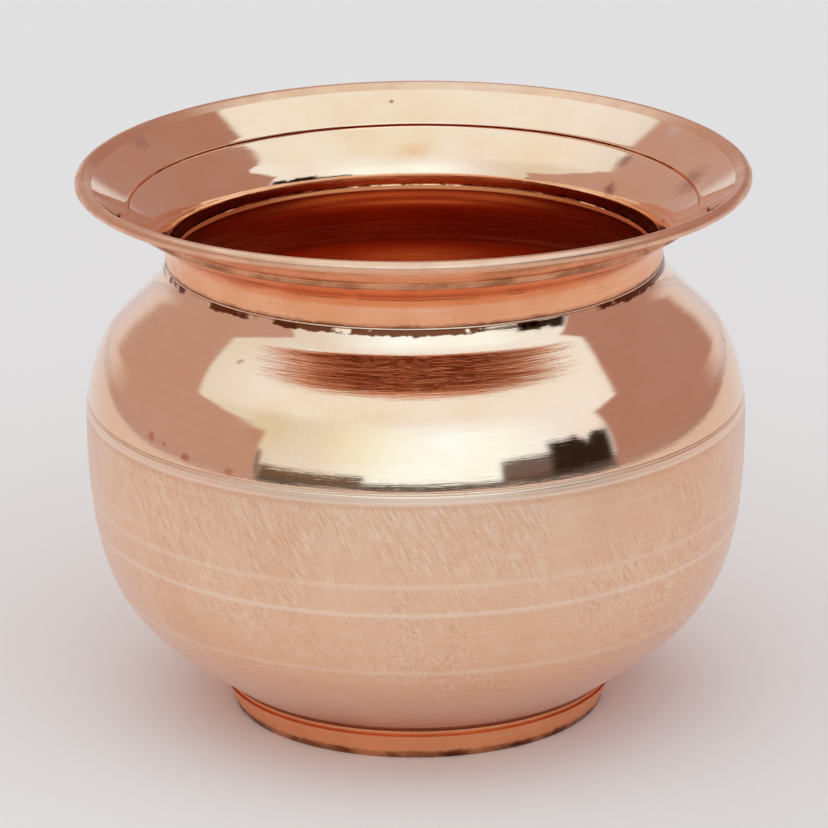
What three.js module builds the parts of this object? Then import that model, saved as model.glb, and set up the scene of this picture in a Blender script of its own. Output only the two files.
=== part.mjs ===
// A copper lota: a round-bellied water pot of thin spun sheet with a wide flared mouth.
// Four sheet pieces lap or butt at the neck, the belly and the foot, where braze metal joins them,
// and a wire stiffens the rolled rim. Millimetres, +Z up, the origin on the ground under the centre.
import * as THREE from "three";

// Sheet, wire and joints
const SHEET = 0.6; // copper sheet of the collar, the shoulder and the bowl
const FOOT_SHEET = 0.9; // heavier strip of the foot ring
const WIRE_DIAMETER = 1.2; // wire inside the rolled rim
const FILLER = 0.3; // braze metal between two lapped sheets
const BELLY_LAP = 4; // how far the bowl's lip stands up inside the shoulder
const BELLY_GROOVE = 0.5; // open groove below the shoulder's edge, filled flush
const NECK_LAP = 2; // how far the collar's band hangs down inside the neck
const NECK_JOGGLE = 0.4; // rise in which the collar swells out again above the neck's edge
const FOOT_FLANGE = 3.5; // width of the foot ring's top, turned in under the bowl
const FOOT_FILLET = 1.5; // width of the braze fillet in the corner above the foot ring

// Foot and bowl
const FOOT_RADIUS = 35.5; // outside of the foot ring on the ground
const SEAT_RADIUS = 37.2; // where the bowl meets the outside of the foot ring
const SEAT_HEIGHT = 6.3;
const SEAT_SLOPE = 36.8; // degrees, climb of the bowl's wall at the foot ring
const BASE_HEIGHT = 3.4; // underside of the flat middle of the bowl
const BASE_FLAT_RADIUS = 27;
const BOWL_SEAT_REACH = 21.5; // how long the wall keeps its direction above the foot
const BOWL_BELLY_REACH = 35; // and below the belly

// Belly, shoulder and neck
const BELLY_RADIUS = 62.95; // widest place of the body
const BELLY_HEIGHT = 56.7;
const SEAM_RISE = 5.2; // height of the shoulder's lower edge above the widest place
const SHOULDER_RISE = 31.4; // height of the neck's edge above the widest place
const SHOULDER_BELLY_REACH = 9.25; // how long the wall keeps its direction above the belly
const SHOULDER_CONE_REACH = 2.7; // and below its conical part
const SHOULDER_CONE = 11.8; // length of that part along its slope
const SHOULDER_LEAN = 43.4; // degrees from upright, lean of that part
const NECK_CURVE = 8.8; // radius of the hollow curve between the cone and the neck
const NECK_RADIUS = 47.2; // outside of the neck in its narrowest place
const NECK_RISE = 1.4; // height of the narrowest place above the neck's edge

// Flared mouth
const THROAT_UPRIGHT = 2; // height of the upright wall above the collar's joggle
const THROAT_ARC = 5.6; // radius of the curve above it, out towards the step
const THROAT_RISE = 7.6; // height of the step's foot above the upright wall
const STEP_RADIUS = 54.6; // outside of the upright step in the flare
const STEP_RISE = 1;
const FLARE_SLOPE = 37; // degrees, climb of the flare above the step
const RIM_RADIUS = 64; // outermost reach of the rolled rim

// Corners of the round outlines
const FACETS = 48;
const WIRE_CORNERS = 12;
const CURL_CORNERS = 9; // how many of the wire's sides the rolled rim goes round
const LAP_STEPS = 2;
const SHOULDER_STEPS = 12;
const BOWL_STEPS = 10;
const BELLY_STEPS = 2;
const BASE_STEPS = 2;
const FLANGE_STEPS = 2;
const THROAT_STEPS = 5;

const finishes = {
  mirror: { color: 0xd79a72, roughness: 0.12 },
  satin: { color: 0xd6a184, roughness: 0.42 },
  foot: { color: 0xc98358, roughness: 0.38 },
  wire: { color: 0xb8714a, roughness: 0.4 },
  braze: { color: 0xd8b088, roughness: 0.35 },
};

const point = (radius, height) => new THREE.Vector2(radius, height);
const radians = THREE.MathUtils.degToRad;
const direction = (degrees) => point(Math.cos(radians(degrees)), Math.sin(radians(degrees)));
const along = (start, degrees, distance) =>
  start.clone().addScaledVector(direction(degrees), distance);

// The points of a curve from one parameter to another, both ends included.
function stations(curve, from, to, steps) {
  const points = [];
  for (let i = 0; i <= steps; i++) {
    points.push(curve.getPoint(from + ((to - from) * i) / steps));
  }
  return points;
}

// The parameter at which a curve reaches a radius, "x", or a height, "y", that grows along it.
function parameterAt(curve, axis, value) {
  let low = 0;
  let high = 1;
  const halvings = 40;
  for (let i = 0; i < halvings; i++) {
    const middle = (low + high) / 2;
    if (curve.getPoint(middle)[axis] < value) low = middle;
    else high = middle;
  }
  return (low + high) / 2;
}

// A line moved to its left by a distance, with mitred corners.
function offsetLine(line, distance) {
  const lefts = line.slice(1).map((end, i) => {
    const run = end.clone().sub(line[i]).normalize();
    return point(-run.y, run.x);
  });
  return line.map((corner, i) => {
    const before = lefts[Math.max(i - 1, 0)];
    const after = lefts[Math.min(i, lefts.length - 1)];
    const mitre = before.clone().add(after).normalize();
    return corner.clone().addScaledVector(mitre, distance / mitre.dot(after));
  });
}

// The closed outline of a sheet whose outside follows a line.
const sheetOutline = (line, thickness) => [...line, ...offsetLine(line, thickness).reverse()];

// A body turned from an outline that runs round it with the metal on its left.
function turned(name, outline, finish) {
  const closed = outline[0].x === 0 ? outline : [...outline, outline[0]];
  const geometry = new THREE.LatheGeometry(closed, FACETS);
  geometry.rotateX(Math.PI / 2);
  const material = new THREE.MeshStandardMaterial({ ...finish, metalness: 1 });
  const mesh = new THREE.Mesh(geometry, material);
  mesh.name = name;
  return mesh;
}

// Outside of the body: from the flat base out to the foot ring, up to the belly, and in to the neck.
const baseEdge = point(SEAT_RADIUS, SEAT_HEIGHT);
const baseBend = along(baseEdge, SEAT_SLOPE, (BASE_HEIGHT - SEAT_HEIGHT) / direction(SEAT_SLOPE).y);
const baseCurve = new THREE.QuadraticBezierCurve(
  point(BASE_FLAT_RADIUS, BASE_HEIGHT),
  baseBend,
  baseEdge,
);
const belly = point(BELLY_RADIUS, BELLY_HEIGHT);
const bowlCurve = new THREE.CubicBezierCurve(
  baseEdge,
  along(baseEdge, SEAT_SLOPE, BOWL_SEAT_REACH),
  point(BELLY_RADIUS, BELLY_HEIGHT - BOWL_BELLY_REACH),
  belly,
);
const neckHeight = BELLY_HEIGHT + SHOULDER_RISE;
const neckCurve = new THREE.EllipseCurve(
  NECK_RADIUS + NECK_CURVE,
  neckHeight + NECK_RISE,
  NECK_CURVE,
  NECK_CURVE,
  Math.PI + radians(SHOULDER_LEAN),
  Math.PI + Math.asin(NECK_RISE / NECK_CURVE),
  true,
);
const coneHead = neckCurve.getPoint(0);
const coneFoot = along(coneHead, SHOULDER_LEAN - 90, SHOULDER_CONE);
const shoulderCurve = new THREE.CurvePath();
shoulderCurve.add(
  new THREE.CubicBezierCurve(
    belly,
    point(BELLY_RADIUS, BELLY_HEIGHT + SHOULDER_BELLY_REACH),
    along(coneFoot, SHOULDER_LEAN - 90, SHOULDER_CONE_REACH),
    coneFoot,
  ),
);
shoulderCurve.add(new THREE.LineCurve(coneFoot, coneHead));
shoulderCurve.add(neckCurve);

// The shoulder's outside has corners where the laps start and end, so lapped pieces share them.
const seamHeight = BELLY_HEIGHT + SEAM_RISE;
const seamAt = parameterAt(shoulderCurve, "y", seamHeight);
const bellyLapAt = parameterAt(shoulderCurve, "y", seamHeight + BELLY_LAP);
const neckLapAt = parameterAt(shoulderCurve, "y", neckHeight - NECK_LAP);
const shoulderLine = [
  ...stations(shoulderCurve, seamAt, bellyLapAt, LAP_STEPS),
  ...stations(shoulderCurve, bellyLapAt, neckLapAt, SHOULDER_STEPS).slice(1),
  ...stations(shoulderCurve, neckLapAt, 1, LAP_STEPS).slice(1),
];
const shoulderInside = offsetLine(shoulderLine, SHEET);
const lapLine = offsetLine(shoulderLine, SHEET + FILLER);
const neckEdge = shoulderLine.at(-1);

function shoulderShell() {
  return turned("shoulder_shell", sheetOutline(shoulderLine, SHEET), finishes.mirror);
}

// The bowl: its lip is set in by a sheet and the filler, and stands inside the shoulder.
const lipLine = lapLine.slice(0, LAP_STEPS + 1);
const grooveAt = parameterAt(shoulderCurve, "y", seamHeight - BELLY_GROOVE);
const flangeAt = parameterAt(baseCurve, "x", SEAT_RADIUS - FOOT_FLANGE);
const flangeSeat = stations(baseCurve, flangeAt, 1, FLANGE_STEPS);
const filletAt = parameterAt(bowlCurve, "y", along(baseEdge, SEAT_SLOPE, FOOT_FILLET).y);
const filletTop = bowlCurve.getPoint(filletAt);
const bellyStations = stations(shoulderCurve, 0, grooveAt, BELLY_STEPS);
const groove = bellyStations.at(-1);

function lowerBowl() {
  const line = [
    point(0, BASE_HEIGHT),
    ...stations(baseCurve, 0, flangeAt, BASE_STEPS),
    ...flangeSeat.slice(1),
    ...stations(bowlCurve, filletAt, 1, BOWL_STEPS),
    ...bellyStations.slice(1),
    ...lipLine,
  ];
  return turned("lower_bowl", sheetOutline(line, SHEET), finishes.satin);
}

// The collar: a band inside the neck, a joggle, the throat, the step, the flare and the rolled rim.
const bandLine = lapLine.slice(-LAP_STEPS - 1);
const throatFoot = point(NECK_RADIUS, neckHeight + NECK_JOGGLE);
const arcFoot = point(NECK_RADIUS, throatFoot.y + THROAT_UPRIGHT);
const stepFoot = point(STEP_RADIUS, arcFoot.y + THROAT_RISE);
const wireRadius = WIRE_DIAMETER / 2;
const flareSide = FLARE_SLOPE + 90;
const wireReach = RIM_RADIUS - SHEET - wireRadius;
const flareTouch = wireReach + wireRadius * direction(flareSide).x;
const stepHead = point(STEP_RADIUS, stepFoot.y + STEP_RISE);
const flareRise = (flareTouch - STEP_RADIUS) * Math.tan(radians(FLARE_SLOPE));
const wireHeight = stepHead.y + flareRise - wireRadius * direction(flareSide).y;
const wireCentre = point(wireReach, wireHeight);

// An arc that leaves its start upright and bends outwards until it points straight at a target.
function throatArc(start, target, radius) {
  const centre = point(start.x + radius, start.y);
  const reach = target.clone().sub(centre);
  const endAngle = reach.angle() + Math.acos(radius / reach.length());
  return new THREE.EllipseCurve(centre.x, centre.y, radius, radius, Math.PI, endAngle, true);
}

// Corners round the wire, the first where the flare touches it, the others clockwise.
const wireCorners = [];
for (let i = 0; i < WIRE_CORNERS; i++) {
  wireCorners.push(along(wireCentre, flareSide - (i * 360) / WIRE_CORNERS, wireRadius));
}

function mouthCollar() {
  const line = [
    ...bandLine,
    throatFoot,
    ...stations(throatArc(arcFoot, stepFoot, THROAT_ARC), 0, 1, THROAT_STEPS),
    stepFoot,
    stepHead,
    ...wireCorners.slice(0, CURL_CORNERS + 1),
  ];
  return turned("mouth_collar", sheetOutline(line, SHEET), finishes.mirror);
}

function rimWire() {
  return turned("rim_wire", wireCorners.slice().reverse(), finishes.wire);
}

// Foot ring: an upright strip whose top is turned in under the bowl.
const flangeTop = offsetLine(flangeSeat, -FILLER);

function footRing() {
  const line = [point(FOOT_RADIUS, 0), ...flangeTop.slice().reverse()];
  const inside = offsetLine(line, FOOT_SHEET);
  // The strip's lower edge is cut level with the ground.
  inside[0] = point(FOOT_RADIUS - FOOT_SHEET, 0);
  return turned("foot_ring", [...line, ...inside.reverse()], finishes.foot);
}

// Braze metal: a film between the sheets, and what shows at the edge of each joint.
function neckBraze() {
  const outline = [
    ...shoulderInside.slice(-LAP_STEPS - 1),
    neckEdge,
    throatFoot,
    ...bandLine.slice().reverse(),
  ];
  return turned("neck_braze", outline, finishes.braze);
}

function bellyBraze() {
  const outline = [
    groove,
    shoulderLine[0],
    ...shoulderInside.slice(0, LAP_STEPS + 1),
    ...lipLine.slice().reverse(),
  ];
  return turned("belly_braze", outline, finishes.braze);
}

function footBraze() {
  const outline = [...flangeTop, filletTop, ...flangeSeat.slice().reverse()];
  return turned("foot_braze", outline, finishes.braze);
}

const lota = new THREE.Group();
lota.name = "lota";
lota.add(
  footRing(),
  footBraze(),
  lowerBowl(),
  bellyBraze(),
  shoulderShell(),
  neckBraze(),
  mouthCollar(),
  rimWire(),
);

export default lota;
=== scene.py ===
import math

import bmesh
import bpy
import numpy as np
from mathutils import Matrix, Vector


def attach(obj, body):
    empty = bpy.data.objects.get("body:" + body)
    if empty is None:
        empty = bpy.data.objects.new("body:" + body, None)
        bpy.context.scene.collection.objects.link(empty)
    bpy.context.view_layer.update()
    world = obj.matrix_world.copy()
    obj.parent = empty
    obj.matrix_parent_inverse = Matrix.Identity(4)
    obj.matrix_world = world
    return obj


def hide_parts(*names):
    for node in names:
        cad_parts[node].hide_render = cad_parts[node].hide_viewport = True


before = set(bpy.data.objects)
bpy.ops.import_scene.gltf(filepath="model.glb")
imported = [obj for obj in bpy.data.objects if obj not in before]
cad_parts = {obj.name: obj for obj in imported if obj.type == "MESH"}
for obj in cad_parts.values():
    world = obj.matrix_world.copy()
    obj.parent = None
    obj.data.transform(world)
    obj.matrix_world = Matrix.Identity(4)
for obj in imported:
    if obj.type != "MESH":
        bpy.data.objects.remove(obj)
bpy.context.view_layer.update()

MM = 0.001

# Sheet, wire and joints
SHEET = 0.6 * MM
FOOT_SHEET = 0.9 * MM
WIRE_RADIUS = 0.6 * MM
FILLER = 0.3 * MM
BELLY_LAP = 4 * MM
BELLY_GROOVE = 0.5 * MM
NECK_LAP = 2 * MM
NECK_JOGGLE = 0.4 * MM
FOOT_FLANGE = 3.5 * MM
FOOT_FILLET = 1.5 * MM

# Foot and bowl
FOOT_RADIUS = 35.5 * MM
SEAT_RADIUS = 37.2 * MM
SEAT_HEIGHT = 6.3 * MM
SEAT_SLOPE = 36.8
BASE_HEIGHT = 3.4 * MM
BASE_FLAT_RADIUS = 27 * MM
BOWL_SEAT_REACH = 21.5 * MM
BOWL_BELLY_REACH = 35 * MM

# Belly, shoulder and neck
BELLY_RADIUS = 62.95 * MM
BELLY_HEIGHT = 56.7 * MM
SEAM_RISE = 5.2 * MM
SHOULDER_RISE = 31.4 * MM
SHOULDER_BELLY_REACH = 9.25 * MM
SHOULDER_CONE_REACH = 2.7 * MM
SHOULDER_CONE = 11.8 * MM
SHOULDER_LEAN = 43.4
NECK_CURVE = 8.8 * MM
NECK_RADIUS = 47.2 * MM
NECK_RISE = 1.4 * MM

# Flared mouth
THROAT_UPRIGHT = 2 * MM
THROAT_ARC = 5.6 * MM
THROAT_RISE = 7.6 * MM
STEP_RADIUS = 54.6 * MM
STEP_RISE = 1 * MM
FLARE_SLOPE = 37
RIM_RADIUS = 64 * MM
CURL_TURN = 270
LEDGE_FILL = 0.45 * MM
LEDGE_FADE = 5 * MM
RIM_CLEARANCE = 1.5
MOUTH_OVAL = 0.45 * MM
MOUTH_DIP = 0.6 * MM

# Fineness of the meshes: steps round the pot, and steps along each stretch of an outline
TURN_STEPS = 192
BASE_STEPS = 24
FLANGE_STEPS = 10
BOWL_STEPS = 90
BELLY_STEPS = 14
CONE_STEPS = 200
SHOULDER_STEPS = 60
LAP_STEPS = 12
NECK_STEPS = 60
THROAT_STEPS = 30
CURL_STEPS = 40
WIRE_STEPS = 24
OUTLINE_SPACING = 0.06 * MM
CORNER_SOFTNESS = 0.13 * MM
COLLAR_SOFTNESS = 0.22 * MM
WIDEST_GAP = 1.5 * MM
MOST_TURN = math.radians(3)
SOFTENING_REACH = 3
HALVINGS = 40

# Rings that the spinning tool left on the bowl: height, relief, width and how pale they are; the
# paleness is a painted highlight along each ring
BOWL_MARKS = [
    (61.0 * MM, 0.02 * MM, 0.20 * MM, 0.5),
    (60.1 * MM, 0.03 * MM, 0.25 * MM, 0.6),
    (43.8 * MM, 0.04 * MM, 0.45 * MM, 0.3),
    (38.1 * MM, 0.07 * MM, 0.45 * MM, 0.5),
    (25.4 * MM, 0.04 * MM, 0.50 * MM, 0.3),
]

# The shoulder is very slightly hollow above its middle and full below the neck
SHOULDER_MARKS = [
    (80.8 * MM, -0.20 * MM, 2.9 * MM, 0.0),
    (83.2 * MM, 0.012 * MM, 0.5 * MM, 0.0),
    (86.4 * MM, 0.07 * MM, 1.9 * MM, 0.0),
]


# Outlines: rows of (radius, height)

def point(radius, height):
    return np.array([radius, height])


def direction(degrees):
    return point(math.cos(math.radians(degrees)), math.sin(math.radians(degrees)))


def bezier(*corners):
    """The curve of these control points, as a function of its parameter."""
    order = len(corners) - 1

    def curve(t):
        t = np.atleast_1d(t)[:, None]
        weights = [math.comb(order, k) * t**k * (1 - t) ** (order - k) for k in range(order + 1)]
        return sum(weight * corner for weight, corner in zip(weights, corners))

    return curve


def along_line(line):
    """The curve through these points, as a function of the share of its length."""
    lengths = np.linalg.norm(np.diff(line, axis=0), axis=1)
    shares = np.concatenate([[0], np.cumsum(lengths)]) / lengths.sum()
    return lambda t: np.stack([np.interp(np.atleast_1d(t), shares, line[:, k]) for k in (0, 1)], axis=1)


def arc_line(centre, radius, start, end, steps):
    """Points of an arc between two bearings in degrees."""
    bearings = np.linspace(start, end, steps + 1)
    return np.array([centre + radius * direction(bearing) for bearing in bearings])


def stations(curve, start, end, steps):
    return curve(np.linspace(start, end, steps + 1))


def parameter_at(curve, axis, value):
    """Where a curve reaches a radius, axis 0, or a height, axis 1, that grows along it."""
    low, high = 0.0, 1.0
    for _ in range(HALVINGS):
        middle = (low + high) / 2
        if curve(middle)[0][axis] < value:
            low = middle
        else:
            high = middle
    return (low + high) / 2


def lefts(line):
    runs = np.diff(line, axis=0)
    runs /= np.linalg.norm(runs, axis=1)[:, None]
    return np.stack([-runs[:, 1], runs[:, 0]], axis=1)


def offset_line(line, distance):
    """A line moved to its left, with mitred corners."""
    sides = lefts(line)
    before = np.vstack([sides[:1], sides])
    after = np.vstack([sides, sides[-1:]])
    mitre = before + after
    mitre /= np.linalg.norm(mitre, axis=1)[:, None]
    return line + mitre * (distance / (mitre * after).sum(axis=1))[:, None]


def resampled(line, spacing):
    lengths = np.linalg.norm(np.diff(line, axis=0), axis=1)
    along = np.concatenate([[0], np.cumsum(lengths)])
    places = np.linspace(0, along[-1], max(2, int(along[-1] / spacing)))
    return np.stack([np.interp(places, along, line[:, k]) for k in (0, 1)], axis=1)


def marked(line, marks):
    """A line with small raised rings at some heights; the raised side is on its right."""
    line = resampled(line, OUTLINE_SPACING)
    sides = lefts(line)
    sides = np.vstack([sides, sides[-1:]])
    for height, relief, width, _ in marks:
        line = line - sides * (relief * np.exp(-(((line[:, 1] - height) / width) ** 2)))[:, None]
    return line


def softened(outline, closed, softness):
    """An outline with its corners slightly rounded, as worn sheet has them."""
    line = np.vstack([outline, outline[:1]]) if closed else outline
    line = resampled(line, OUTLINE_SPACING)
    if closed:
        line = line[:-1]
    reach = int(SOFTENING_REACH * softness / OUTLINE_SPACING)
    offsets = np.arange(-reach, reach + 1)
    weights = np.exp(-((offsets * OUTLINE_SPACING / softness) ** 2) / 2)
    weights /= weights.sum()
    if closed:
        padded = np.vstack([line[-reach:], line, line[:reach]])
    else:
        before = 2 * line[0] - line[reach:0:-1]
        after = 2 * line[-1] - line[-2:-reach - 2:-1]
        padded = np.vstack([before, line, after])
    return np.stack([np.convolve(padded[:, k], weights, mode="valid") for k in (0, 1)], axis=1)


def thinned(line):
    """Fewer points where the line runs nearly straight."""
    kept = [0]
    runs = np.diff(line, axis=0)
    headings = np.unwrap(np.arctan2(runs[:, 1], runs[:, 0]))
    turned = 0.0
    travelled = 0.0
    for i in range(1, len(line) - 1):
        turned += abs(headings[i] - headings[i - 1])
        travelled += math.hypot(*runs[i - 1])
        if turned > MOST_TURN or travelled > WIDEST_GAP:
            kept.append(i)
            turned = 0.0
            travelled = 0.0
    kept.append(len(line) - 1)
    return line[kept]


# The hand-made unevenness of the whole pot: shallow waves that only press the sheet inwards, and a
# mouth that is slightly narrower from front to back and lower at its sides. Each wave has its count
# round the pot, its phase, its twist in radians per metre of height, and its depth.
WAVES = [
    (2, 0.4, 70, 0.050 * MM),
    (3, 2.1, 45, 0.030 * MM),
    (5, 4.0, 95, 0.022 * MM),
    (8, 1.3, 150, 0.012 * MM),
    (13, 5.2, 230, 0.006 * MM),
]


def uneven(line, angle):
    """Radii and heights of an outline at one bearing round the pot."""
    radius, height = line[:, 0], line[:, 1]
    depth = 0
    for turns, phase, climb, amount in WAVES:
        depth = depth + amount * (1 + np.sin(turns * angle + phase + climb * height)) / 2
    mouth = np.clip((height - step_head[1]) / (wire_centre[1] - step_head[1]), 0, 1)
    radius = radius - depth * np.minimum(radius / FOOT_RADIUS, 1)
    radius = radius - MOUTH_OVAL * mouth * math.sin(angle) ** 2
    return radius, height - MOUTH_DIP * mouth * math.cos(angle) ** 2


def turned_mesh(name, outline, closed, materials, finish_of=None, softness=CORNER_SOFTNESS):
    """A piece turned from an outline with the metal on its left.

    finish_of(start, run) gives the number of the material of a stretch of the outline.
    """
    line = thinned(softened(outline, closed, softness))
    count = len(line)
    vertices = []
    for angle in np.arange(TURN_STEPS) * (2 * math.pi / TURN_STEPS):
        radius, height = uneven(line, angle)
        vertices.append(np.stack([radius * math.cos(angle), radius * math.sin(angle), height], axis=1))
    spans = count if closed else count - 1
    faces = []
    for i in range(TURN_STEPS):
        here, there = i * count, (i + 1) % TURN_STEPS * count
        for j in range(spans):
            k = (j + 1) % count
            faces.append((here + j, there + j, there + k, here + k))
    mesh = bpy.data.meshes.new(name)
    mesh.from_pydata(np.concatenate(vertices).tolist(), [], faces)
    for material in materials:
        mesh.materials.append(material)
    if finish_of is not None:
        runs = np.roll(line, -1, axis=0) - line
        finishes = [finish_of(line[j], runs[j]) for j in range(spans)]
        mesh.polygons.foreach_set("material_index", finishes * TURN_STEPS)
    mesh.polygons.foreach_set("use_smooth", [True] * len(mesh.polygons))
    weld_axis(mesh)
    piece = bpy.data.objects.new(name, mesh)
    bpy.context.scene.collection.objects.link(piece)
    return piece


def weld_axis(mesh):
    """Merges the points that meet on the axis."""
    work = bmesh.new()
    work.from_mesh(mesh)
    on_axis = [v for v in work.verts if math.hypot(v.co.x, v.co.y) < OUTLINE_SPACING / 10]
    bmesh.ops.remove_doubles(work, verts=on_axis, dist=OUTLINE_SPACING / 5)
    work.to_mesh(mesh)
    work.free()


# The body's outside, the same curves as the solids
base_edge = point(SEAT_RADIUS, SEAT_HEIGHT)
slope = direction(SEAT_SLOPE)
base_curve = bezier(
    point(BASE_FLAT_RADIUS, BASE_HEIGHT),
    base_edge + slope * ((BASE_HEIGHT - SEAT_HEIGHT) / slope[1]),
    base_edge,
)
bowl_curve = bezier(
    base_edge,
    base_edge + slope * BOWL_SEAT_REACH,
    point(BELLY_RADIUS, BELLY_HEIGHT - BOWL_BELLY_REACH),
    point(BELLY_RADIUS, BELLY_HEIGHT),
)
neck_height = BELLY_HEIGHT + SHOULDER_RISE
neck_curve = arc_line(
    point(NECK_RADIUS + NECK_CURVE, neck_height + NECK_RISE),
    NECK_CURVE,
    180 + SHOULDER_LEAN,
    180 + math.degrees(math.asin(NECK_RISE / NECK_CURVE)),
    NECK_STEPS,
)
down_cone = direction(SHOULDER_LEAN - 90)
cone_foot = neck_curve[0] + down_cone * SHOULDER_CONE
belly_to_cone = bezier(
    point(BELLY_RADIUS, BELLY_HEIGHT),
    point(BELLY_RADIUS, BELLY_HEIGHT + SHOULDER_BELLY_REACH),
    cone_foot + down_cone * SHOULDER_CONE_REACH,
    cone_foot,
)
shoulder_curve = along_line(np.vstack([stations(belly_to_cone, 0, 1, CONE_STEPS), neck_curve]))
seam_height = BELLY_HEIGHT + SEAM_RISE
seam_at = parameter_at(shoulder_curve, 1, seam_height)
belly_lap_at = parameter_at(shoulder_curve, 1, seam_height + BELLY_LAP)
neck_lap_at = parameter_at(shoulder_curve, 1, neck_height - NECK_LAP)
groove_at = parameter_at(shoulder_curve, 1, seam_height - BELLY_GROOVE)
shoulder_line = np.vstack([
    stations(shoulder_curve, seam_at, belly_lap_at, LAP_STEPS),
    stations(shoulder_curve, belly_lap_at, neck_lap_at, SHOULDER_STEPS)[1:],
    stations(shoulder_curve, neck_lap_at, 1, LAP_STEPS)[1:],
])
shoulder_inside = offset_line(shoulder_line, SHEET)
lap_line = offset_line(shoulder_line, SHEET + FILLER)
neck_edge = shoulder_line[-1]
lip_line = lap_line[:LAP_STEPS + 1]
band_line = lap_line[-LAP_STEPS - 1:]
flange_at = parameter_at(base_curve, 0, SEAT_RADIUS - FOOT_FLANGE)
flange_seat = stations(base_curve, flange_at, 1, FLANGE_STEPS)
fillet_at = parameter_at(bowl_curve, 1, (base_edge + slope * FOOT_FILLET)[1])
groove = shoulder_curve(groove_at)[0]
throat_foot = point(NECK_RADIUS, neck_height + NECK_JOGGLE)
arc_foot = throat_foot + point(0, THROAT_UPRIGHT)
step_foot = point(STEP_RADIUS, arc_foot[1] + THROAT_RISE)
step_head = step_foot + point(0, STEP_RISE)
flare_side = direction(FLARE_SLOPE + 90)
wire_reach = RIM_RADIUS - SHEET - WIRE_RADIUS
flare_touch = wire_reach + WIRE_RADIUS * flare_side[0]
flare_rise = (flare_touch - STEP_RADIUS) * math.tan(math.radians(FLARE_SLOPE))
wire_centre = point(wire_reach, step_head[1] + flare_rise - WIRE_RADIUS * flare_side[1])


def throat_arc(start, target, radius):
    """The arc that leaves its start upright and bends outwards until it points straight at a target."""
    centre = start + point(radius, 0)
    reach = target - centre
    end = math.atan2(reach[1], reach[0]) + math.acos(radius / math.hypot(*reach))
    return arc_line(centre, radius, 180, math.degrees(end), THROAT_STEPS)


def wire_line(turn, steps):
    """Points round the wire, clockwise from where the flare touches it."""
    return arc_line(wire_centre, WIRE_RADIUS, FLARE_SLOPE + 90, FLARE_SLOPE + 90 - turn, steps)


# Shader helpers: a tree is the node tree of a material, a group or the world

def add_node(tree, kind, settings=None, **inputs):
    """A node with its settings and its inputs; an input is a value or the socket to link.

    An input is named by its label, with _ for a space, or by its number, as n0 or n1.
    """
    node = tree.nodes.new(kind)
    for key, value in (settings or {}).items():
        setattr(node, key, value)
    for key, value in inputs.items():
        socket = node.inputs[int(key[1:])] if key[1:].isdigit() else node.inputs[key.replace("_", " ")]
        if isinstance(value, bpy.types.NodeSocket):
            tree.links.new(value, socket)
        else:
            socket.default_value = value
    return node


def calc(tree, operation, *values):
    inputs = {f"n{i}": value for i, value in enumerate(values)}
    return add_node(tree, "ShaderNodeMath", {"operation": operation}, **inputs).outputs[0]


def smooth_step(tree, value, start, end):
    node = add_node(
        tree, "ShaderNodeMapRange", {"interpolation_type": "SMOOTHSTEP"},
        Value=value, From_Min=start, From_Max=end, To_Min=0.0, To_Max=1.0,
    )
    return node.outputs[0]


def mixed(tree, amount, first, second):
    node = add_node(tree, "ShaderNodeMix", {"data_type": "RGBA"}, n0=amount, n6=first, n7=second)
    return node.outputs[2]


def new_group(name, inputs, outputs):
    """An empty node group with these sockets, and its input and output nodes."""
    group = bpy.data.node_groups.new(name, "ShaderNodeTree")
    for label, default in inputs.items():
        socket = group.interface.new_socket(label, in_out="INPUT", socket_type="NodeSocketFloat")
        socket.default_value = default
    for label in outputs:
        group.interface.new_socket(label, in_out="OUTPUT", socket_type="NodeSocketFloat")
    return group, group.nodes.new("NodeGroupInput"), group.nodes.new("NodeGroupOutput")


def place_group(tree, group, **values):
    node = tree.nodes.new("ShaderNodeGroup")
    node.node_tree = group
    for key, value in values.items():
        socket = node.inputs[key.replace("_", " ")]
        if isinstance(value, bpy.types.NodeSocket):
            tree.links.new(value, socket)
        else:
            socket.default_value = value
    return node


def place_in_mm(tree):
    """The object's own coordinates in millimetres, and their parts."""
    place = tree.nodes.new("ShaderNodeTexCoord").outputs["Object"]
    scaled = add_node(tree, "ShaderNodeVectorMath", {"operation": "SCALE"}, n0=place, Scale=1 / MM)
    parts = add_node(tree, "ShaderNodeSeparateXYZ", n0=scaled.outputs[0])
    return scaled.outputs[0], *parts.outputs


def radius_of(tree, x, y):
    return calc(tree, "SQRT", calc(tree, "MULTIPLY_ADD", x, x, calc(tree, "MULTIPLY", y, y)))


def noise(tree, vector, scale, detail=3.0, roughness=0.55):
    node = add_node(
        tree, "ShaderNodeTexNoise", {"noise_dimensions": "3D"},
        Vector=vector, Scale=scale, Detail=detail, Roughness=roughness,
    )
    return node.outputs["Fac"]


def vector_of(tree, x, y, z):
    return add_node(tree, "ShaderNodeCombineXYZ", n0=x, n1=y, n2=z).outputs[0]


# Effects that several finishes share

def make_spin_lines():
    """Fine rings left by the spinning tool and the buff. Lean follows the wall's slope."""
    group, given, made = new_group(
        "spin_lines", {"Lean": 1.0, "Fineness": 3.0, "Unbroken": 0.03}, ["Height", "Streaks"]
    )
    _, x, y, z = place_in_mm(group)
    radius = radius_of(group, x, y)
    across = calc(group, "ADD", z, calc(group, "MULTIPLY", radius, given.outputs["Lean"]))
    place = vector_of(
        group,
        calc(group, "MULTIPLY", x, given.outputs["Unbroken"]),
        calc(group, "MULTIPLY", y, given.outputs["Unbroken"]),
        calc(group, "MULTIPLY", across, given.outputs["Fineness"]),
    )
    fine = noise(group, place, 1.0, detail=4.0, roughness=0.7)
    group.links.new(fine, made.inputs["Height"])
    group.links.new(smooth_step(group, fine, 0.5, 0.72), made.inputs["Streaks"])
    return group


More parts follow.
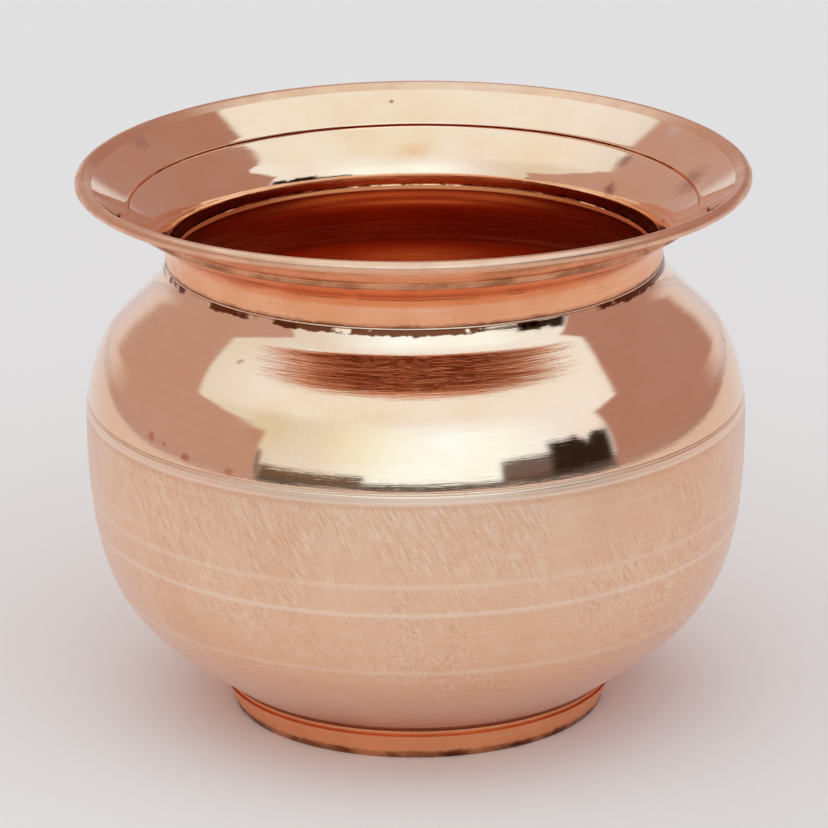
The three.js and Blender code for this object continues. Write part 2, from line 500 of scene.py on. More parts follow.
def make_slanted_scratches():
    """Short slanting strokes, all round the pot. Twist is their slant, in radians per millimetre."""
    group, given, made = new_group(
        "slanted_scratches",
        {"Twist": 0.012, "Fineness": 1.3, "Length": 7.0, "Cover": 0.5},
        ["Light", "Dark", "Height"],
    )
    scaled, _, _, z = place_in_mm(group)
    turn = calc(group, "MULTIPLY", z, given.outputs["Twist"])
    twisted = add_node(
        group, "ShaderNodeVectorRotate", {"rotation_type": "Z_AXIS"}, Vector=scaled, Angle=turn
    ).outputs[0]
    across, beyond, _ = add_node(group, "ShaderNodeSeparateXYZ", n0=twisted).outputs
    place = vector_of(
        group,
        calc(group, "MULTIPLY", across, given.outputs["Fineness"]),
        calc(group, "MULTIPLY", beyond, given.outputs["Fineness"]),
        calc(group, "DIVIDE", z, given.outputs["Length"]),
    )
    strokes = noise(group, place, 1.0, detail=2.5, roughness=0.6)
    patches = noise(group, scaled, 0.06, detail=2.0)
    cover = calc(group, "MULTIPLY", smooth_step(group, patches, 0.3, 0.6), given.outputs["Cover"])
    light = calc(group, "MULTIPLY", smooth_step(group, strokes, 0.53, 0.68), cover)
    dark = calc(group, "MULTIPLY", smooth_step(group, strokes, 0.47, 0.32), cover)
    group.links.new(light, made.inputs["Light"])
    group.links.new(dark, made.inputs["Dark"])
    group.links.new(strokes, made.inputs["Height"])
    return group


def make_patina():
    """Uneven tone in soft blotches, and small dark specks."""
    group, given, made = new_group(
        "patina", {"Blotch Size": 18.0, "Speck Spacing": 9.0, "Speck Size": 0.25}, ["Blotch", "Specks"]
    )
    scaled, *_ = place_in_mm(group)
    blotch = noise(group, scaled, calc(group, "DIVIDE", 1.0, given.outputs["Blotch Size"]), detail=4.0)
    cells = add_node(
        group, "ShaderNodeTexVoronoi", {"feature": "F1"},
        Vector=scaled, Scale=calc(group, "DIVIDE", 1.0, given.outputs["Speck Spacing"]),
    )
    apart = calc(group, "MULTIPLY", cells.outputs["Distance"], given.outputs["Speck Spacing"])
    near = smooth_step(group, apart, given.outputs["Speck Size"], 0.0)
    some = smooth_step(group, noise(group, scaled, 0.11, detail=1.0), 0.5, 0.62)
    group.links.new(smooth_step(group, blotch, 0.3, 0.7), made.inputs["Blotch"])
    group.links.new(calc(group, "MULTIPLY", near, some), made.inputs["Specks"])
    return group


def make_height_band():
    """A level band round the pot, between two heights in millimetres, with slightly uneven edges."""
    group, given, made = new_group(
        "height_band", {"Low": 0.0, "High": 1.0, "Softness": 0.3, "Unevenness": 0.2}, ["Mask"]
    )
    scaled, _, _, z = place_in_mm(group)
    ragged = calc(group, "SUBTRACT", noise(group, scaled, 0.35, detail=4.0), 0.5)
    level = calc(group, "ADD", z, calc(group, "MULTIPLY", ragged, given.outputs["Unevenness"]))
    softness = given.outputs["Softness"]
    low, high = given.outputs["Low"], given.outputs["High"]
    rise = smooth_step(group, level, calc(group, "SUBTRACT", low, softness), low)
    fall = smooth_step(group, level, high, calc(group, "ADD", high, softness))
    inside = calc(group, "MULTIPLY", rise, calc(group, "SUBTRACT", 1.0, fall))
    group.links.new(inside, made.inputs["Mask"])
    return group


def make_stain():
    """A round stain with a ragged edge, round a middle in millimetres. Wide stretches it sideways."""
    group, given, made = new_group(
        "stain", {"X": 0.0, "Y": 0.0, "Z": 0.0, "Size": 3.0, "Wide": 1.0, "Ragged": 0.5}, ["Mask"]
    )
    scaled, x, y, z = place_in_mm(group)
    level = calc(group, "SUBTRACT", z, given.outputs["Z"])
    aside = calc(group, "SUBTRACT", x, given.outputs["X"])
    aside = calc(group, "DIVIDE", aside, given.outputs["Wide"])
    beyond = calc(group, "SUBTRACT", y, given.outputs["Y"])
    apart = calc(group, "MULTIPLY", level, level)
    for side in (aside, beyond):
        apart = calc(group, "MULTIPLY_ADD", side, side, apart)
    apart = calc(group, "SQRT", apart)
    share = calc(group, "DIVIDE", apart, given.outputs["Size"])
    grain = calc(group, "SUBTRACT", noise(group, scaled, 0.9, detail=4.0, roughness=0.7), 0.5)
    depth = calc(group, "MULTIPLY", given.outputs["Ragged"], 3.0)
    ragged = calc(group, "MULTIPLY_ADD", grain, depth, share)
    group.links.new(smooth_step(group, ragged, 1.3, 0.1), made.inputs["Mask"])
    return group


spin_lines = make_spin_lines()
slanted_scratches = make_slanted_scratches()
patina = make_patina()
height_band = make_height_band()
stain = make_stain()


def new_material(name):
    material = bpy.data.materials.new(name)
    material.use_nodes = True
    tree = material.node_tree
    tree.nodes.clear()
    shader = tree.nodes.new("ShaderNodeBsdfPrincipled")
    out = tree.nodes.new("ShaderNodeOutputMaterial")
    tree.links.new(shader.outputs[0], out.inputs[0])
    shader.inputs["Metallic"].default_value = 1.0
    return material, tree, shader


def bumped(tree, shader, height, strength, distance):
    bump = add_node(tree, "ShaderNodeBump", Strength=strength, Distance=distance, Height=height)
    tree.links.new(bump.outputs[0], shader.inputs["Normal"])


def tinted(tree, colour, *layers):
    """A colour with layers laid over it, each a mask, its strength and its colour."""
    for mask, strength, over in layers:
        colour = mixed(tree, calc(tree, "MULTIPLY", mask, strength), colour, over)
    return colour


def edge_sheen_mask(tree, start, end):
    """A mask that grows where the surface turns away from the eye, for a painted sheen near the
    outline.
    """
    facing = tree.nodes.new("ShaderNodeLayerWeight").outputs["Facing"]
    return smooth_step(tree, facing, start, end)


def band_mask(tree, low, high, softness=0.3, unevenness=0.3):
    band = place_group(tree, height_band, Low=low, High=high, Softness=softness, Unevenness=unevenness)
    return band.outputs["Mask"]


# Colours of the finishes
COPPER = (0.955, 0.64, 0.47, 1)
COPPER_DEEP = (0.91, 0.52, 0.34, 1)
COPPER_PALE = (0.97, 0.76, 0.63, 1)
COPPER_BROWN = (0.55, 0.27, 0.16, 1)
# Dark brown for real tarnish, specks and stains, also used for painted shade in creases and the dark
# band at the neck's joint
TARNISH_AND_SHADE = (0.17, 0.045, 0.018, 1)
GOLDEN = (0.86, 0.50, 0.23, 1)
RUSSET = (0.66, 0.24, 0.11, 1)
THUMBED = (0.88, 0.42, 0.20, 1)
THUMBED_PALE = (0.90, 0.50, 0.26, 1)
MAUVE = (0.55, 0.36, 0.38, 1)
RUBBED = (0.98, 0.84, 0.76, 1)
DUSKY = (0.42, 0.17, 0.11, 1)
SATIN = (0.92, 0.61, 0.43, 1)
SATIN_DEEP = (0.84, 0.47, 0.30, 1)
SATIN_DARK = (0.66, 0.36, 0.23, 1)
SATIN_PALE = (0.98, 0.78, 0.64, 1)
# Painted sheen colour near the outline of the satin copper
SATIN_EDGE_SHEEN = (0.90, 0.70, 0.62, 1)
SATIN_WARM = (0.88, 0.50, 0.28, 1)
# Painted shade colour for the groove ring on the satin copper
SATIN_GROOVE_SHADE = (0.80, 0.40, 0.24, 1)
INSIDE = (0.80, 0.30, 0.14, 1)
INSIDE_DEEP = (0.62, 0.18, 0.07, 1)
INSIDE_PALE = (0.88, 0.42, 0.24, 1)
INSIDE_NECK = (0.50, 0.13, 0.04, 1)
INSIDE_RUBBED = (0.30, 0.08, 0.03, 1)
FLARE = (0.94, 0.45, 0.25, 1)
FLARE_DEEP = (0.88, 0.35, 0.16, 1)
RIM = (0.88, 0.50, 0.33, 1)
RIM_DEEP = (0.68, 0.34, 0.20, 1)
FOOT = (0.97, 0.47, 0.24, 1)
FOOT_DEEP = (0.88, 0.37, 0.16, 1)
BRAZE = (0.93, 0.68, 0.50, 1)
BRAZE_DEEP = (0.84, 0.52, 0.36, 1)
BURNT_BRAZE = (0.50, 0.19, 0.10, 1)
BURNT_BRAZE_DEEP = (0.32, 0.10, 0.05, 1)
DRAWN_WIRE = (0.62, 0.32, 0.19, 1)

# Stains on the bright copper: middle in millimetres, size, width, raggedness, strength and colour
COLLAR_STAINS = [
    ((0.3, 48.6, 95.2), 2.3, 1.6, 0.5, 0.55, THUMBED),
    ((26.0, 43.0, 93.5), 6.0, 1.8, 0.4, 0.45, THUMBED_PALE),
    ((-4.2, 57.9, 102.7), 0.5, 1.0, 0.3, 0.8, TARNISH_AND_SHADE),
    ((-52.7, 27.6, 103.3), 2.6, 1.0, 0.5, 0.5, MAUVE),
    ((50.9, 32.2, 103.9), 2.5, 1.0, 0.6, 0.6, RUBBED),
    ((38.0, 27.6, 92.8), 1.6, 1.4, 0.6, 0.6, TARNISH_AND_SHADE),
    ((41.0, 32.1, 97.4), 2.0, 1.0, 0.6, 0.5, TARNISH_AND_SHADE),
    ((52.8, 10.8, 99.3), 4.2, 1.0, 0.6, 0.6, DUSKY),
]
SHOULDER_STAINS = [
    ((-11.9, -58.8, 70.5), 8.0, 1.5, 0.3, 0.6, GOLDEN),
    ((-26.4, -53.2, 72.2), 5.0, 1.2, 0.3, 0.5, GOLDEN),
    ((-49.0, -37.9, 65.2), 1.1, 1.3, 0.9, 0.8, RUSSET),
    ((-46.5, -41.1, 64.9), 0.6, 1.2, 0.9, 0.7, RUSSET),
    ((-42.3, -45.6, 63.6), 1.0, 2.4, 0.9, 0.8, RUSSET),
    ((-34.0, -52.2, 63.0), 0.8, 3.2, 0.9, 0.7, RUSSET),
    ((-32.4, -41.0, 80.5), 0.5, 4.0, 0.4, 0.5, TARNISH_AND_SHADE),
    ((54.9, 10.7, 76.7), 0.6, 1.0, 0.3, 0.7, TARNISH_AND_SHADE),
    ((55.8, 6.0, 76.0), 0.5, 1.0, 0.3, 0.7, TARNISH_AND_SHADE),
    ((58.5, -7.7, 73.1), 0.6, 1.0, 0.3, 0.7, TARNISH_AND_SHADE),
]


def mirror_copper(name, stains, joint):
    """Buffed copper; joint is the two heights of the dark band at the neck's joint, partly tarnish and
    partly a painted dark reflection.
    """
    material, tree, shader = new_material(name)
    fine = place_group(tree, spin_lines, Lean=-0.6, Fineness=2.4, Unbroken=0.03)
    coarse = place_group(tree, spin_lines, Lean=-0.6, Fineness=0.8, Unbroken=0.06)
    tone = place_group(tree, patina, Blotch_Size=9.0, Speck_Spacing=7.0, Speck_Size=0.22)
    cloud = place_group(tree, patina, Blotch_Size=31.0, Speck_Spacing=11.0, Speck_Size=0.2)
    # Dark band at the neck's joint: partly tarnish, partly a painted dark reflection of the low
    # horizon.
    joint_tarnish_and_dark_reflection = calc(
        tree, "MULTIPLY", band_mask(tree, *joint, softness=0.3, unevenness=1.6),
        smooth_step(tree, tone.outputs["Blotch"], 0.3, 0.5),
    )
    colour = tinted(
        tree, COPPER,
        (tone.outputs["Blotch"], 0.35, COPPER_DEEP),
        (cloud.outputs["Blotch"], 0.3, GOLDEN),
        (coarse.outputs["Streaks"], 0.25, COPPER_PALE),
        # paler towards the outline: a painted sheen
        (edge_sheen_mask(tree, 0.6, 0.95), 0.5, COPPER_PALE),
        (joint_tarnish_and_dark_reflection, 1.0, TARNISH_AND_SHADE),
        (tone.outputs["Specks"], 0.6, TARNISH_AND_SHADE),
    )
    for (x, y, z), size, wide, ragged, strength, over in stains:
        spot = place_group(tree, stain, X=x, Y=y, Z=z, Size=size, Wide=wide, Ragged=ragged)
        colour = tinted(tree, colour, (spot.outputs["Mask"], strength, over))
    tree.links.new(colour, shader.inputs["Base Color"])
    rough = calc(tree, "MULTIPLY_ADD", coarse.outputs["Streaks"], 0.05, 0.06)
    rough = calc(tree, "MULTIPLY_ADD", tone.outputs["Specks"], 0.4, rough)
    tree.links.new(rough, shader.inputs["Roughness"])
    height = calc(tree, "MULTIPLY_ADD", fine.outputs["Height"], 0.4, coarse.outputs["Height"])
    bumped(tree, shader, height, 0.19, 0.08 * MM)
    return material


def satin_copper():
    material, tree, shader = new_material("satin_copper")
    lines = place_group(tree, spin_lines, Lean=0.5, Fineness=1.2, Unbroken=0.015)
    strokes = place_group(tree, slanted_scratches, Twist=0.009, Fineness=3.0, Length=2.3, Cover=1.0)
    broad = place_group(tree, slanted_scratches, Twist=0.007, Fineness=0.8, Length=5.5, Cover=0.8)
    tone = place_group(tree, patina, Blotch_Size=20.0, Speck_Spacing=5.0, Speck_Size=0.32)
    flecks = place_group(tree, patina, Blotch_Size=2.4, Speck_Spacing=3.1, Speck_Size=0.38)
    buffed = band_mask(tree, 59.9, 70.0, softness=0.5, unevenness=0.6)
    brushed = calc(tree, "SUBTRACT", 1.0, buffed)
    # Painted shade: the satin copper deepens towards the foot.
    foot_painted_shade = band_mask(tree, -1.0, 14.0, softness=20.0, unevenness=4.0)
    colour = tinted(
        tree, SATIN,
        (tone.outputs["Blotch"], 0.5, SATIN_DEEP),
        (flecks.outputs["Blotch"], 0.35, SATIN_WARM),
        (foot_painted_shade, 0.4, SATIN_DEEP),
        (lines.outputs["Streaks"], 0.25, SATIN_PALE),
        (calc(tree, "MULTIPLY", broad.outputs["Dark"], brushed), 0.35, SATIN_DEEP),
        (calc(tree, "MULTIPLY", broad.outputs["Light"], brushed), 0.35, SATIN_PALE),
        (calc(tree, "MULTIPLY", strokes.outputs["Dark"], brushed), 0.5, SATIN_DARK),
        (calc(tree, "MULTIPLY", strokes.outputs["Light"], brushed), 0.55, SATIN_PALE),
        # A darker, redder ring at 59 mm: painted shade of a groove.
        (band_mask(tree, 59.0, 59.5, softness=0.5), 0.3, SATIN_GROOVE_SHADE),
        # paler and pinker towards the outline: a painted sheen
        (edge_sheen_mask(tree, 0.5, 0.95), 0.6, SATIN_EDGE_SHEEN),
        (flecks.outputs["Specks"], 0.6, RUSSET),
        (tone.outputs["Specks"], 0.7, COPPER_BROWN),
    )
    # The pale colour along each tool ring is a painted highlight; the rings' relief is in the mesh.
    for height, _, width, painted_highlight in BOWL_MARKS:
        low, high = (height - width / 2) / MM, (height + width / 2) / MM
        colour = tinted(tree, colour, (band_mask(tree, low, high, softness=0.5), painted_highlight, SATIN_PALE))
    tree.links.new(colour, shader.inputs["Base Color"])
    rough = calc(tree, "MULTIPLY_ADD", tone.outputs["Blotch"], 0.08, 0.36)
    rough = calc(tree, "MULTIPLY_ADD", buffed, -0.1, rough)
    tree.links.new(rough, shader.inputs["Roughness"])
    height = calc(tree, "MULTIPLY_ADD", strokes.outputs["Height"], 0.6, lines.outputs["Height"])
    bumped(tree, shader, height, 0.35, 0.06 * MM)
    return material


def inside_copper():
    material, tree, shader = new_material("inside_copper")
    lines = place_group(tree, spin_lines, Lean=0.3, Fineness=1.2, Unbroken=0.01)
    tone = place_group(tree, patina, Blotch_Size=16.0, Speck_Spacing=6.0, Speck_Size=0.3)
    strokes = place_group(tree, slanted_scratches, Twist=0.03, Fineness=1.6, Length=1.6, Cover=1.0)
    rubbed = band_mask(tree, 77.0, 81.0, softness=1.5, unevenness=1.5)
    colour = tinted(
        tree, INSIDE,
        (tone.outputs["Blotch"], 0.5, INSIDE_DEEP),
        (lines.outputs["Streaks"], 0.4, INSIDE_PALE),
        (band_mask(tree, 87.5, 89.0, softness=0.2), 0.8, INSIDE_NECK),
        (calc(tree, "MULTIPLY", strokes.outputs["Dark"], rubbed), 0.8, INSIDE_RUBBED),
        (tone.outputs["Specks"], 0.6, TARNISH_AND_SHADE),
    )
    tree.links.new(colour, shader.inputs["Base Color"])
    rough = calc(tree, "MULTIPLY_ADD", lines.outputs["Streaks"], 0.1, 0.24)
    tree.links.new(rough, shader.inputs["Roughness"])
    bumped(tree, shader, lines.outputs["Height"], 0.5, 0.10 * MM)
    return material


def worn_copper(name, bright, deep, roughness, corners):
    """Browner copper that isn't buffed.

    Each corner is two heights in millimetres, between which painted shade darkens the copper in
    patches, and its strength.
    """
    material, tree, shader = new_material(name)
    lines = place_group(tree, spin_lines, Lean=-0.6, Fineness=1.5, Unbroken=0.03)
    tone = place_group(tree, patina, Blotch_Size=8.0, Speck_Spacing=3.5, Speck_Size=0.35)
    colour = tinted(
        tree, bright,
        (tone.outputs["Blotch"], 0.6, deep),
        (lines.outputs["Streaks"], 0.25, COPPER_PALE),
        (tone.outputs["Specks"], 0.8, TARNISH_AND_SHADE),
    )
    patchy = calc(tree, "MULTIPLY_ADD", smooth_step(tree, tone.outputs["Blotch"], 0.0, 1.0), 0.6, 0.4)
    # Painted shade in the creases, in patches.
    for low, high, strength in corners:
        crease_shade = calc(tree, "MULTIPLY", patchy, band_mask(tree, low, high, softness=0.8, unevenness=1.4))
        colour = tinted(tree, colour, (crease_shade, strength, TARNISH_AND_SHADE))
    tree.links.new(colour, shader.inputs["Base Color"])
    rough = calc(tree, "MULTIPLY_ADD", tone.outputs["Blotch"], 0.12, roughness)
    tree.links.new(rough, shader.inputs["Roughness"])
    bumped(tree, shader, lines.outputs["Height"], 0.3, 0.06 * MM)
    return material


def braze_metal(name, bright, dark, darkness):
    material, tree, shader = new_material(name)
    tone = place_group(tree, patina, Blotch_Size=4.0, Speck_Spacing=3.0, Speck_Size=0.4)
    colour = tinted(
        tree, bright,
        (tone.outputs["Blotch"], darkness, dark),
        (tone.outputs["Specks"], 0.8, TARNISH_AND_SHADE),
    )
    tree.links.new(colour, shader.inputs["Base Color"])
    rough = calc(tree, "MULTIPLY_ADD", tone.outputs["Blotch"], 0.15, 0.25)
    tree.links.new(rough, shader.inputs["Roughness"])
    return material


def wire_copper():
    material, tree, shader = new_material("wire_copper")
    tone = place_group(tree, patina, Blotch_Size=3.0, Speck_Spacing=3.0, Speck_Size=0.3)
    colour = tinted(tree, DRAWN_WIRE, (tone.outputs["Blotch"], 0.5, TARNISH_AND_SHADE))
    tree.links.new(colour, shader.inputs["Base Color"])
    shader.inputs["Roughness"].default_value = 0.4
    return material


# The last pair of heights bounds the dark band at the neck's joint: tarnish with a painted dark
# reflection.
shoulder_finish = mirror_copper("mirror_copper", SHOULDER_STAINS, (87.2, 89.0))
collar_finish = mirror_copper("mirror_copper_of_mouth", COLLAR_STAINS, (88.0, 89.0))
satin = satin_copper()
inside = inside_copper()
# The bands under the flare are painted shade in its creases: at the neck's joint, along the step and
# under the rolled rim.
under_flare = worn_copper(
    "worn_copper_under_flare", FLARE, FLARE_DEEP, 0.14,
    [(88.1, 88.6, 0.8), (98.2, 98.8, 0.7), (103.3, 103.6, 0.3)],
)
rim_finish = worn_copper("worn_copper_of_rim", RIM, RIM_DEEP, 0.24, [])
# The dark band along the foot's bottom edge is a painted contact shadow.
foot_finish = worn_copper("worn_copper_of_foot", FOOT, FOOT_DEEP, 0.33, [(-1.0, 0.9, 1.0)])
pale_braze = braze_metal("pale_braze", BRAZE, BRAZE_DEEP, 0.6)
dark_braze = braze_metal("dark_braze", BURNT_BRAZE, BURNT_BRAZE_DEEP, 0.8)
wire_finish = wire_copper()


# The pieces

def add_piece(piece, node):
    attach(piece, "root")
    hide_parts(node)


def faces_axis(_, run):
    """1 on the stretches of an outline that look towards the axis or up from inside, else 0."""
    return int(run[1] < 0 or (abs(run[1]) < OUTLINE_SPACING / 10 and run[0] < 0))


def collar_part(start, run):
    """0 on the bright inside of the mouth, 1 under the flare, 2 on the rolled rim, 3 on the band."""
    if math.hypot(*(start - wire_centre)) < WIRE_RADIUS + RIM_CLEARANCE * SHEET:
        return 2
    if not faces_axis(start, run):
        return 1
    return 3 if start[1] < throat_foot[1] + NECK_JOGGLE else 0


def make_bowl():
    outside = np.vstack([
        [point(0, BASE_HEIGHT)],
        stations(base_curve, 0, 1, BASE_STEPS),
        stations(bowl_curve, 0, 1, BOWL_STEPS)[1:],
        stations(shoulder_curve, 0, groove_at, BELLY_STEPS)[1:],
        lip_line,
    ])
    within = offset_line(outside, SHEET)
    outline = np.vstack([marked(outside, BOWL_MARKS), within[::-1]])
    piece = turned_mesh("bowl_of_satin_copper", outline, False, [satin, inside], faces_axis)
    add_piece(piece, "lower_bowl")


def make_shoulder():
    outline = np.vstack([marked(shoulder_line, SHOULDER_MARKS), shoulder_inside[::-1]])
    finishes = [shoulder_finish, inside]
    piece = turned_mesh("shoulder_of_mirror_copper", outline, True, finishes, faces_axis)
    add_piece(piece, "shoulder_shell")


def make_collar():
    outside = np.vstack([
        band_line,
        [throat_foot],
        throat_arc(arc_foot, step_foot, THROAT_ARC),
        [step_foot, step_head],
        wire_line(CURL_TURN, CURL_STEPS),
    ])
    within = offset_line(outside, SHEET)
    above_ledge = within[:, 1] > throat_foot[1]
    share = np.clip(1 - (within[:, 1] - throat_foot[1]) / LEDGE_FADE, 0, 1)
    within[:, 0] -= LEDGE_FILL * share * above_ledge
    outline = np.vstack([outside, within[::-1]])
    finishes = [collar_finish, under_flare, rim_finish, inside]
    piece = turned_mesh(
        "collar_of_mirror_copper", outline, True, finishes, collar_part, COLLAR_SOFTNESS
    )
    add_piece(piece, "mouth_collar")


def make_wire():
    outline = wire_line(360, WIRE_STEPS)[:-1][::-1]
    piece = turned_mesh("wire_in_rim", outline, True, [wire_finish])
    add_piece(piece, "rim_wire")


def make_foot():
    flange_top = offset_line(flange_seat, -FILLER)
    line = np.vstack([[point(FOOT_RADIUS, 0)], flange_top[::-1]])
    within = offset_line(line, FOOT_SHEET)
    within[0] = point(FOOT_RADIUS - FOOT_SHEET, 0)
    piece = turned_mesh("ring_of_foot", np.vstack([line, within[::-1]]), True, [foot_finish])
    add_piece(piece, "foot_ring")
    fillet_top = bowl_curve(fillet_at)[0]
    seam = np.vstack([flange_top, [fillet_top], flange_seat[::-1]])
    braze = turned_mesh("braze_of_foot", seam, True, [dark_braze])
    add_piece(braze, "foot_braze")


def make_belly_braze():
    outline = np.vstack([[groove], shoulder_line[:1], shoulder_inside[:LAP_STEPS + 1], lip_line[::-1]])
    piece = turned_mesh("braze_of_belly", outline, True, [pale_braze])
    add_piece(piece, "belly_braze")


def make_neck_braze():
    outline = np.vstack([shoulder_inside[-LAP_STEPS - 1:], [neck_edge, throat_foot], band_line[::-1]])
    piece = turned_mesh("braze_of_neck", outline, True, [pale_braze])
    add_piece(piece, "neck_braze")


make_foot()
make_bowl()
make_belly_braze()
make_shoulder()
make_neck_braze()
make_collar()
make_wire()


# Floor and surroundings. Bearings are degrees round the pot, 0 towards the camera and growing to its
# right.

LEFT_WALL = 57
RIGHT_WALL = 72
BACK = 138

# The pale sheet on the floor reaches far past the pictures. Its hem and the ground show in the mirror.
PALE_CENTRE = (0.01, -0.22)
PALE_HALF = (0.73, 0.98)
HEM_WIDTH = 0.03
HEM_BLUR = 0.004
FLOOR_HALF = 30

# Colours of the ground, by its bearing
PALE_FLOOR = (0.96, 0.805, 0.745, 1)
HEM = (0.10, 0.06, 0.05, 1)
GROUND_IN_FRONT = (0.050, 0.030, 0.020, 1)
GROUND_LEFT = (0.66, 0.42, 0.39, 1)
GROUND_RIGHT = (0.54, 0.31, 0.27, 1)
GROUND_BEHIND = (0.88, 0.74, 0.73, 1)

# Colours of what stands round the pot
SKY = (0.93, 1.17, 1.24, 1)
LOW_SKY = (0.95, 1.22, 1.42, 1)
MIDDLE_SKY = (1.06, 1.54, 1.86, 1)
DIM_SKY = (0.80, 0.96, 0.98, 1)
LEFT_WALL_COLOUR = (0.56, 0.435, 0.41, 1)
RIGHT_WALL_COLOUR = (0.46, 0.31, 0.28, 1)
PALE_BACK = (0.76, 0.75, 0.77, 1)

# Walls, in degrees: start bearing, height there, climb for each degree past it, and greatest height
LEFT_WALL_SHAPE = (LEFT_WALL, 25.0, 0.30, 43.0)
RIGHT_WALL_SHAPE = (RIGHT_WALL, 30.0, 0.5, 55.0)

# Dark shapes of the skyline: start and end bearing, top, raggedness and softness in degrees, their
# strength and their colour
SKYLINE = [
    (-57.0, -55.0, 13.0, 2.0, 0.5, 0.9, (0.22, 0.15, 0.14, 1)),
    (-55.0, -18.0, 5.4, 3.0, 1.0, 0.95, (0.14, 0.085, 0.035, 1)),
    (-18.0, 72.0, 1.6, 1.5, 1.0, 0.95, (0.09, 0.05, 0.03, 1)),
    (29.0, 60.0, 12.5, 1.0, 0.4, 0.92, (0.10, 0.055, 0.035, 1)),
    (47.0, 71.0, 17.0, 22.0, 1.5, 1.0, (0.03, 0.02, 0.015, 1)),
]


def bearing_of(tree, x, y):
    return calc(tree, "DEGREES", calc(tree, "ARCTAN2", x, calc(tree, "MULTIPLY", y, -1.0)))


def make_floor():
    mesh = bpy.data.meshes.new("pale_floor")
    corners = [(x * FLOOR_HALF, y * FLOOR_HALF, 0) for x, y in ((-1, -1), (1, -1), (1, 1), (-1, 1))]
    mesh.from_pydata(corners, [], [(0, 1, 2, 3)])
    floor = bpy.data.objects.new("pale_floor", mesh)
    bpy.context.scene.collection.objects.link(floor)
    material, tree, shader = new_material("pale_floor")
    place = tree.nodes.new("ShaderNodeTexCoord").outputs["Object"]
    x, y, _ = add_node(tree, "ShaderNodeSeparateXYZ", n0=place).outputs
    past = []
    for along, centre, reach in zip((x, y), PALE_CENTRE, PALE_HALF):
        offset = calc(tree, "ABSOLUTE", calc(tree, "SUBTRACT", along, centre))
        past.append(calc(tree, "SUBTRACT", offset, reach))
    folds = calc(tree, "SUBTRACT", noise(tree, place, 3.0, detail=2.0), 0.5)
    beyond = calc(tree, "MULTIPLY_ADD", folds, HEM_WIDTH, calc(tree, "MAXIMUM", *past))
    bearing = bearing_of(tree, x, y)
    left = calc(tree, "MULTIPLY", bearing, -1.0)
    behind = smooth_step(tree, calc(tree, "ABSOLUTE", bearing), BACK - 10, BACK + 10)
    ground = tinted(
        tree, GROUND_IN_FRONT,
        (smooth_step(tree, left, LEFT_WALL - 4, LEFT_WALL), 1.0, GROUND_LEFT),
        (smooth_step(tree, bearing, RIGHT_WALL - 4, RIGHT_WALL), 1.0, GROUND_RIGHT),
        (behind, 1.0, GROUND_BEHIND),
    )
    off_hem = smooth_step(tree, beyond, HEM_WIDTH, HEM_WIDTH + HEM_BLUR)
    colour = mixed(tree, off_hem, HEM, ground)
    colour = mixed(tree, smooth_step(tree, beyond, HEM_BLUR, 0.0), colour, PALE_FLOOR)
    tree.links.new(colour, shader.inputs["Base Color"])
    shader.inputs["Metallic"].default_value = 0.0
    shader.inputs["Roughness"].default_value = 0.8
    mesh.materials.append(material)


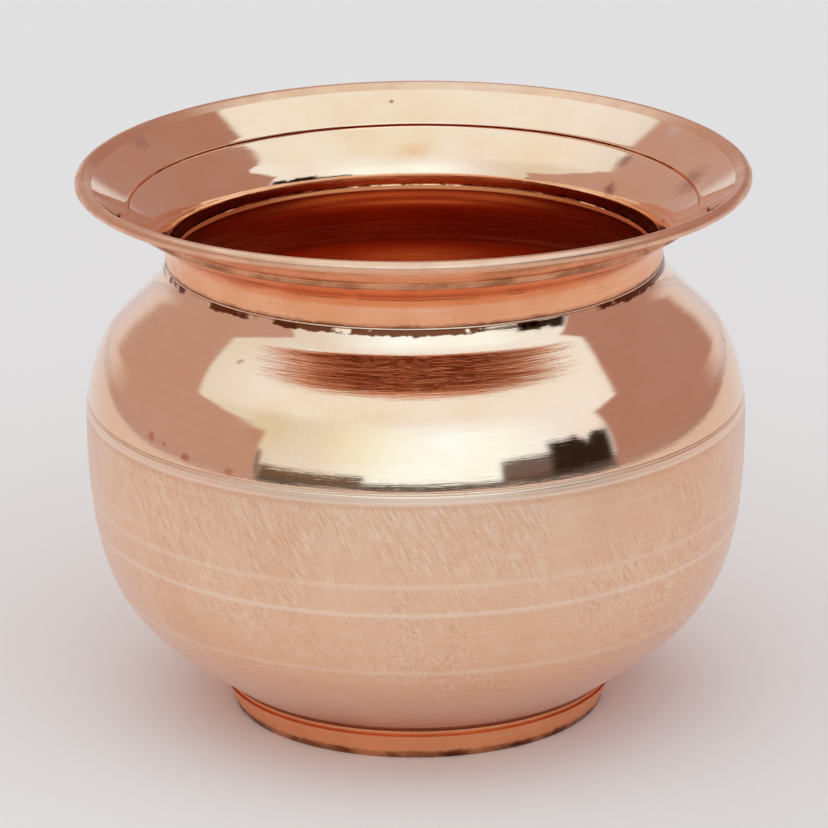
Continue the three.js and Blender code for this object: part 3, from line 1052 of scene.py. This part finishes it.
def make_surroundings():
    """A bright open front, a duller wall on each side, a pale back and a low dark skyline."""
    world = bpy.data.worlds.new("soft_studio")
    bpy.context.scene.world = world
    world.use_nodes = True
    tree = world.node_tree
    tree.nodes.clear()
    toward = tree.nodes.new("ShaderNodeTexCoord").outputs["Generated"]
    x, y, z = add_node(tree, "ShaderNodeSeparateXYZ", n0=toward).outputs
    bearing = bearing_of(tree, x, y)
    left = calc(tree, "MULTIPLY", bearing, -1.0)
    climb = calc(tree, "DEGREES", calc(tree, "ARCSINE", z))

    def span(value, start, end, softness):
        entered = smooth_step(tree, value, start - softness, start + softness)
        return calc(tree, "MULTIPLY", entered, smooth_step(tree, value, end + softness, end - softness))

    def wall(away, start, foot, rate, highest):
        top = calc(tree, "MULTIPLY_ADD", calc(tree, "SUBTRACT", away, start), rate, foot)
        top = calc(tree, "MINIMUM", top, highest)
        below = smooth_step(tree, calc(tree, "SUBTRACT", top, climb), -0.8, 0.8)
        entered = smooth_step(tree, away, start - 0.7, start + 0.7)
        return calc(tree, "MULTIPLY", below, entered)

    def block(start, end, top, raggedness, softness):
        edge = calc(tree, "MULTIPLY_ADD", ragged, raggedness, top)
        below = smooth_step(tree, calc(tree, "SUBTRACT", edge, climb), -0.4, 0.4)
        return calc(tree, "MULTIPLY", below, span(bearing, start, end, softness))

    rough_line = vector_of(
        tree, calc(tree, "MULTIPLY", bearing, 0.25), calc(tree, "MULTIPLY", climb, 0.1), 0.0
    )
    ragged = calc(tree, "SUBTRACT", noise(tree, rough_line, 1.0, detail=4.0), 0.5)
    low = smooth_step(tree, climb, 68.0, 45.0)
    middle = span(bearing, -22.0, 42.0, 16.0)
    middle = calc(tree, "MULTIPLY", middle, smooth_step(tree, climb, 55.0, 25.0))
    dim = smooth_step(tree, left, 22.0, 50.0)
    dim = calc(tree, "MULTIPLY", dim, smooth_step(tree, climb, 60.0, 35.0))
    behind = smooth_step(tree, calc(tree, "ABSOLUTE", bearing), BACK - 16, BACK + 10)
    pale_back = calc(tree, "MULTIPLY", behind, smooth_step(tree, climb, 12.0, 6.0))
    under_floor = smooth_step(tree, climb, -1.0, -4.0)
    colour = tinted(
        tree, SKY,
        (low, 1.0, LOW_SKY),
        (middle, 1.0, MIDDLE_SKY),
        (dim, 0.9, DIM_SKY),
        (wall(left, *LEFT_WALL_SHAPE), 1.0, LEFT_WALL_COLOUR),
        (wall(bearing, *RIGHT_WALL_SHAPE), 1.0, RIGHT_WALL_COLOUR),
        (pale_back, 1.0, PALE_BACK),
        *[(block(*shape), strength, over) for *shape, strength, over in SKYLINE],
        (under_floor, 1.0, PALE_BACK),
    )
    background = add_node(tree, "ShaderNodeBackground", Color=colour, Strength=1.0)
    out = tree.nodes.new("ShaderNodeOutputWorld")
    tree.links.new(background.outputs[0], out.inputs[0])


# Camera: where the photograph was taken from, about a metre away and 18 degrees up.

CAMERA_AWAY = 1.0401
CAMERA_UP = 0.4001
CAMERA_DIP = 18.28
CAMERA_TURN = 0.02
CAMERA_ROLL = -0.60
CAMERA_LENS = 249.0
SENSOR_WIDTH = 36
CLIP_END = 100


def make_camera():
    data = bpy.data.cameras.new("view_of_photograph")
    data.sensor_width = SENSOR_WIDTH
    data.lens = CAMERA_LENS
    data.clip_end = CLIP_END
    camera = bpy.data.objects.new("view_of_photograph", data)
    place = Matrix.Translation(Vector((0, -CAMERA_AWAY, CAMERA_UP)))
    turn = Matrix.Rotation(math.radians(CAMERA_TURN), 4, "Z")
    tilt = Matrix.Rotation(math.radians(90 - CAMERA_DIP), 4, "X")
    roll = Matrix.Rotation(math.radians(CAMERA_ROLL), 4, "Z")
    camera.matrix_world = place @ turn @ tilt @ roll
    bpy.context.scene.collection.objects.link(camera)
    bpy.context.scene.camera = camera


make_floor()
make_surroundings()
make_camera()
bpy.context.scene.view_settings.view_transform = "Standard"
